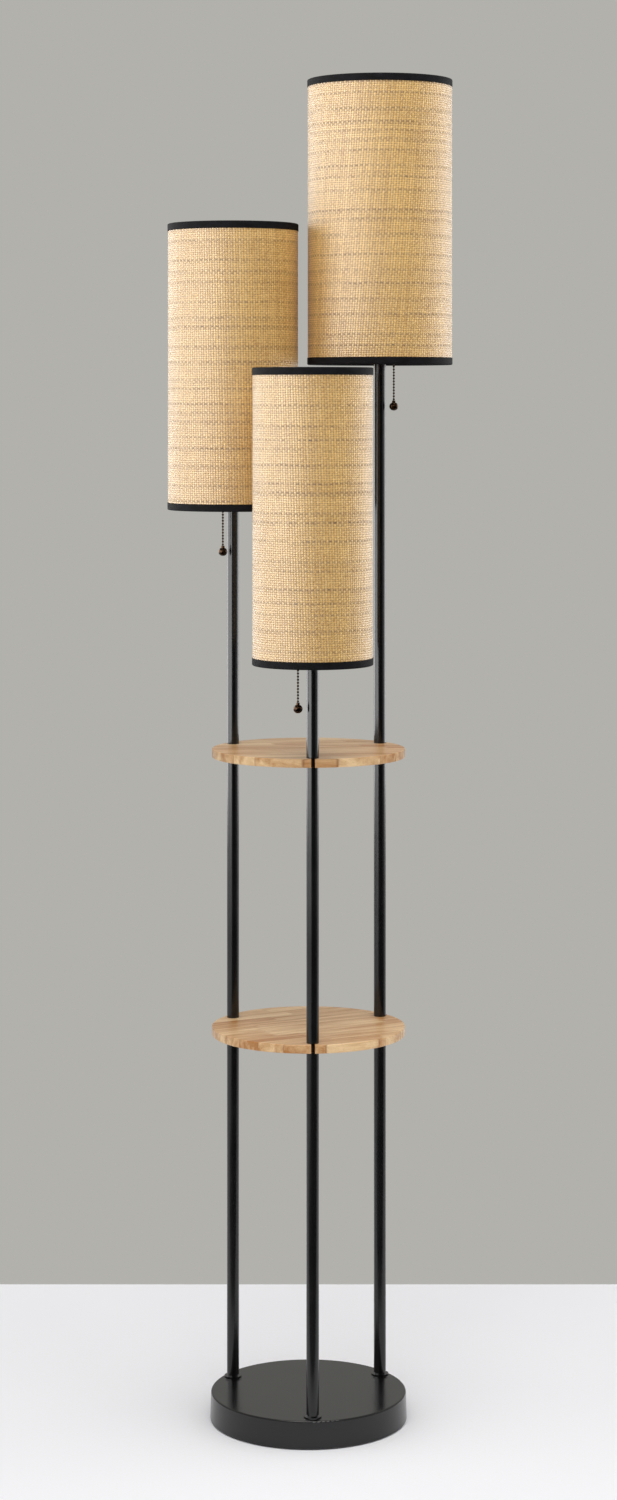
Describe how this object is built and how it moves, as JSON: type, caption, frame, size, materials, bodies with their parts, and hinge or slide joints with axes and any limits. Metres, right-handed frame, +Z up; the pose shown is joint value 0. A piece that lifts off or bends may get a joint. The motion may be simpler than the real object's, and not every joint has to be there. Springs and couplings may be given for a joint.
{
  "type": "shelf floor lamp",
  "caption": "Floor lamp: slim black poles on a round weighted base carry round wooden shelves and tall woven drum shades at stepped heights, each over a pull-chain socket.",
  "frame": {"origin": "centre of the base on the floor, at the underside of its felt pad", "axes": "+Z up along the poles; -Y to the front, where the lowest shade stands; +X to the right"},
  "size_m": [0.3745, 0.3437, 1.739],
  "materials": {
    "satin_black": "satin powder coat",
    "shade_weave": "woven paper cord, matt",
    "shade_tape": "matt woven tape",
    "frame_wire": "satin enamel",
    "shelf_wood": "satin lacquer",
    "dark_bronze": "dark satin bronze",
    "socket_black": "satin",
    "insulator_moulding": "moulded",
    "contact_brass": "plain",
    "bulb_metal": "plain",
    "bulb_glass": "frosted",
    "iron_weight": "as cast",
    "plated_steel": "zinc plated",
    "felt": "felt",
    "grommet_rubber": "matt",
    "lead_sheath": "matt"
  },
  "bodies": {
    "stand": {"base_cover": "satin_black", "foot_collars": "satin_black", "front_pole_lower_tube": "satin_black", "front_pole_middle_tube": "satin_black", "front_pole_upper_tube": "satin_black", "right_pole_lower_tube": "satin_black", "right_pole_middle_tube": "satin_black", "right_pole_upper_tube": "satin_black", "left_pole_lower_tube": "satin_black", "left_pole_middle_tube": "satin_black", "left_pole_upper_tube": "satin_black", "front_shade_cover": "shade_weave", "right_shade_cover": "shade_weave", "left_shade_cover": "shade_weave", "front_shade_trims": "shade_tape", "right_shade_trims": "shade_tape", "left_shade_trims": "shade_tape", "front_shade_top_ring": "frame_wire", "right_shade_top_ring": "frame_wire", "left_shade_top_ring": "frame_wire", "front_shade_fitter": "frame_wire", "right_shade_fitter": "frame_wire", "left_shade_fitter": "frame_wire", "lower_shelf": "shelf_wood", "upper_shelf": "shelf_wood", "shelf_nipples": "dark_bronze", "foot_nipples": "dark_bronze", "socket_nipples": "dark_bronze", "socket_caps": "socket_black", "shade_ring_nuts": "socket_black", "front_socket_shell": "socket_black", "right_socket_shell": "socket_black", "left_socket_shell": "socket_black", "socket_insulators": "insulator_moulding", "terminal_block": "insulator_moulding", "socket_screw_shells": "contact_brass", "socket_contacts": "contact_brass", "bulb_caps": "bulb_metal", "front_bulb_globe": "bulb_glass", "right_bulb_globe": "bulb_glass", "left_bulb_globe": "bulb_glass", "base_weight": "iron_weight", "base_bottom_plate": "plated_steel", "base_plate_screws": "plated_steel", "foot_nuts": "plated_steel", "foot_lock_washers": "plated_steel", "tube_end_bushes": "plated_steel", "switch_pins": "plated_steel", "base_felt_pad": "felt", "cord_grommet": "grommet_rubber", "pole_leads": "lead_sheath"},
    "front_pull": {"front_pull_chain": "dark_bronze", "front_pull_ball": "dark_bronze"},
    "front_lever": {"front_switch_lever": "plated_steel"},
    "right_pull": {"right_pull_chain": "dark_bronze", "right_pull_ball": "dark_bronze"},
    "right_lever": {"right_switch_lever": "plated_steel"},
    "left_pull": {"left_pull_chain": "dark_bronze", "left_pull_ball": "dark_bronze"},
    "left_lever": {"left_switch_lever": "plated_steel"}
  },
  "joints": [
    {"name": "front_chain_pull", "type": "slide", "parent": "stand", "child": "front_pull", "axis": [0, 0, -1], "range_m": [0, 0.0069], "stiffness_N_per_m": 600},
    {"name": "front_lever_rock", "type": "hinge", "parent": "stand", "child": "front_lever", "pos_m": [-0.00217, -0.11436, 1.052], "axis": [0.3746, -0.9272, 0], "range_deg": [0, 33.5]},
    {"name": "right_chain_pull", "type": "slide", "parent": "stand", "child": "right_pull", "axis": [0, 0, -1], "range_m": [0, 0.0069], "stiffness_N_per_m": 600},
    {"name": "right_lever_rock", "type": "hinge", "parent": "stand", "child": "right_lever", "pos_m": [0.10109, 0.0569, 1.432], "axis": [0.4163, 0.9092, 0], "range_deg": [0, 33.5]},
    {"name": "left_chain_pull", "type": "slide", "parent": "stand", "child": "left_pull", "axis": [0, 0, -1], "range_m": [0, 0.0069], "stiffness_N_per_m": 600},
    {"name": "left_lever_rock", "type": "hinge", "parent": "stand", "child": "left_lever", "pos_m": [-0.10426, 0.04505, 1.242], "axis": [0.7604, -0.6494, 0], "range_deg": [0, 33.5]}
  ],
  "couplings": [
    {"joint": "front_lever_rock", "follows": "front_chain_pull", "rad_per_m": 84.526},
    {"joint": "right_lever_rock", "follows": "right_chain_pull", "rad_per_m": 84.526},
    {"joint": "left_lever_rock", "follows": "left_chain_pull", "rad_per_m": 84.526}
  ]
}
